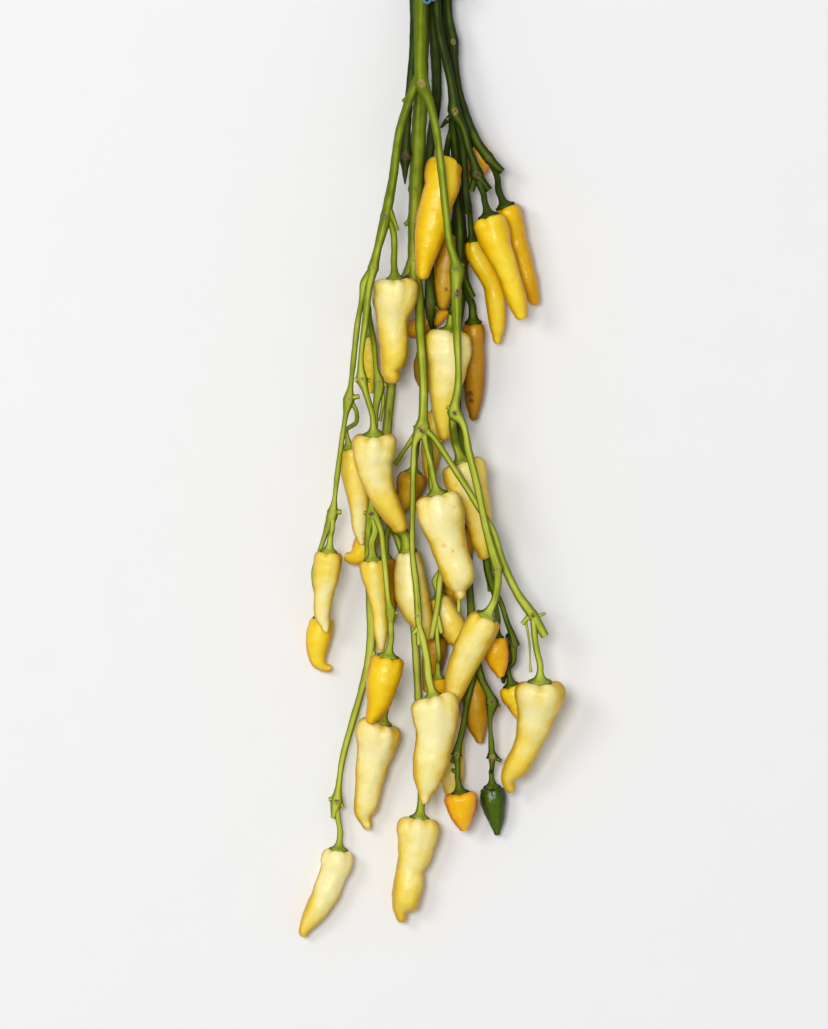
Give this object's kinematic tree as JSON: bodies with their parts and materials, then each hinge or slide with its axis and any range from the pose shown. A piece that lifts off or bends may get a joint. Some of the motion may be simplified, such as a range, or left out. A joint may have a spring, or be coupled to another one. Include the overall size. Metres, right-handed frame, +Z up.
{
  "type": "hanging bunch of chillies",
  "caption": "Hanging bunch of fresh yellow, cream and orange chillies on their cut green branches, tied with a blue cord; laid on its back.",
  "frame": {"origin": "on the surface that the bunch lies on, below the middle of its bounding box", "axes": "+Y along the bunch, from the fruits to the tie; +Z up from the surface, towards the side that shows; +X to the right of that side"},
  "size_m": [0.1328, 0.5144, 0.0518],
  "materials": {
    "skin_cream": "glossy fruit skin",
    "skin_yellow": "glossy fruit skin",
    "skin_golden": "glossy fruit skin",
    "skin_orange": "glossy fruit skin",
    "skin_green": "glossy fruit skin",
    "stem_light": "ribbed green stem",
    "stem_dark": "ribbed green stem, shaded",
    "tie_blue": "twisted plastic cord"
  },
  "bodies": {
    "root": {"chilli_01": "skin_yellow", "chilli_02": "skin_golden", "chilli_03": "skin_orange", "chilli_04": "skin_yellow", "chilli_05": "skin_yellow", "chilli_06": "skin_yellow", "chilli_07": "skin_orange", "chilli_08": "skin_cream", "chilli_09": "skin_yellow", "chilli_10": "skin_cream", "chilli_11": "skin_golden", "chilli_12": "skin_golden", "chilli_13": "skin_cream", "chilli_14": "skin_golden", "chilli_15": "skin_cream", "chilli_16": "skin_cream", "chilli_17": "skin_yellow", "chilli_18": "skin_cream", "chilli_19": "skin_yellow", "chilli_20": "skin_cream", "chilli_21": "skin_golden", "chilli_22": "skin_cream", "chilli_23": "skin_cream", "chilli_24": "skin_golden", "chilli_25": "skin_cream", "chilli_26": "skin_cream", "chilli_27": "skin_golden", "chilli_28": "skin_cream", "chilli_29": "skin_cream", "chilli_30": "skin_cream", "chilli_31": "skin_cream", "chilli_32": "skin_cream", "chilli_33": "skin_yellow", "chilli_34": "skin_cream", "chilli_35": "skin_yellow", "chilli_36": "skin_orange", "chilli_37": "skin_green", "chilli_38": "skin_orange", "chilli_39": "skin_green", "chilli_40": "skin_golden", "chilli_41": "skin_cream", "chilli_42": "skin_orange", "chilli_43": "skin_golden", "stem_front": "stem_light", "stem_centre": "stem_light", "stem_right": "stem_dark", "stem_far_right": "stem_dark", "stem_far_left": "stem_dark", "stem_middle_back": "stem_dark", "stem_low_right": "stem_dark", "tie_band": "tie_blue", "tie_loop": "tie_blue"}
  },
  "joints": []
}
